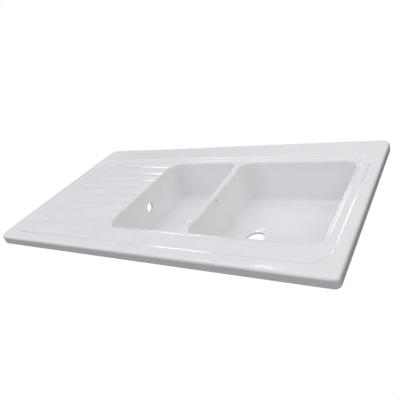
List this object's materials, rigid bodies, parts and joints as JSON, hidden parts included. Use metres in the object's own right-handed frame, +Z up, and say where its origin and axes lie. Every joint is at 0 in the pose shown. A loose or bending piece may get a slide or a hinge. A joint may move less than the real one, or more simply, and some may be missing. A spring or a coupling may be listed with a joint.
{
  "type": "kitchen sink with drainboard",
  "caption": "Inset glazed ceramic kitchen sink with a ribbed drainboard, a small and a large bowl, open waste and overflow holes, a rim seal and swing clips.",
  "frame": {"origin": "middle of the plan, on the plane that the flat undersides of the bowls stand on", "axes": "+X to the user's right (drainboard at -X), +Y towards the wall, +Z up"},
  "size_m": [1.07, 0.6, 0.154],
  "materials": {
    "glazed_fireclay": "white gloss glaze, bare biscuit underneath",
    "foam_seal": "closed-cell foam",
    "nylon_plug": "moulded natural nylon",
    "zinc_screw": "zinc plated",
    "zinc_claw": "stamped and zinc plated"
  },
  "bodies": {
    "root": {"sink_body": "glazed_fireclay", "rim_seal": "foam_seal", "clip_plugs": "nylon_plug", "clip_screws": "zinc_screw"},
    "claw_1": {"clip_claw_1": "zinc_claw"},
    "claw_2": {"clip_claw_2": "zinc_claw"},
    "claw_3": {"clip_claw_3": "zinc_claw"},
    "claw_4": {"clip_claw_4": "zinc_claw"},
    "claw_5": {"clip_claw_5": "zinc_claw"},
    "claw_6": {"clip_claw_6": "zinc_claw"},
    "claw_7": {"clip_claw_7": "zinc_claw"},
    "claw_8": {"clip_claw_8": "zinc_claw"}
  },
  "joints": [
    {"name": "claw_1_swing", "type": "hinge", "parent": "root", "child": "claw_1", "pos_m": [-0.32, -0.267, 0.078], "axis": [0, 0, 1], "range_deg": [0, 90]},
    {"name": "claw_2_swing", "type": "hinge", "parent": "root", "child": "claw_2", "pos_m": [0, -0.267, 0.078], "axis": [0, 0, 1], "range_deg": [0, 90]},
    {"name": "claw_3_swing", "type": "hinge", "parent": "root", "child": "claw_3", "pos_m": [0.32, -0.267, 0.078], "axis": [0, 0, 1], "range_deg": [0, 90]},
    {"name": "claw_4_swing", "type": "hinge", "parent": "root", "child": "claw_4", "pos_m": [0.502, 0, 0.078], "axis": [0, 0, 1], "range_deg": [0, 90]},
    {"name": "claw_5_swing", "type": "hinge", "parent": "root", "child": "claw_5", "pos_m": [0.32, 0.267, 0.078], "axis": [0, 0, 1], "range_deg": [0, 90]},
    {"name": "claw_6_swing", "type": "hinge", "parent": "root", "child": "claw_6", "pos_m": [0, 0.267, 0.078], "axis": [0, 0, 1], "range_deg": [0, 90]},
    {"name": "claw_7_swing", "type": "hinge", "parent": "root", "child": "claw_7", "pos_m": [-0.32, 0.267, 0.078], "axis": [0, 0, 1], "range_deg": [0, 90]},
    {"name": "claw_8_swing", "type": "hinge", "parent": "root", "child": "claw_8", "pos_m": [-0.502, 0, 0.078], "axis": [0, 0, 1], "range_deg": [0, 90]}
  ]
}
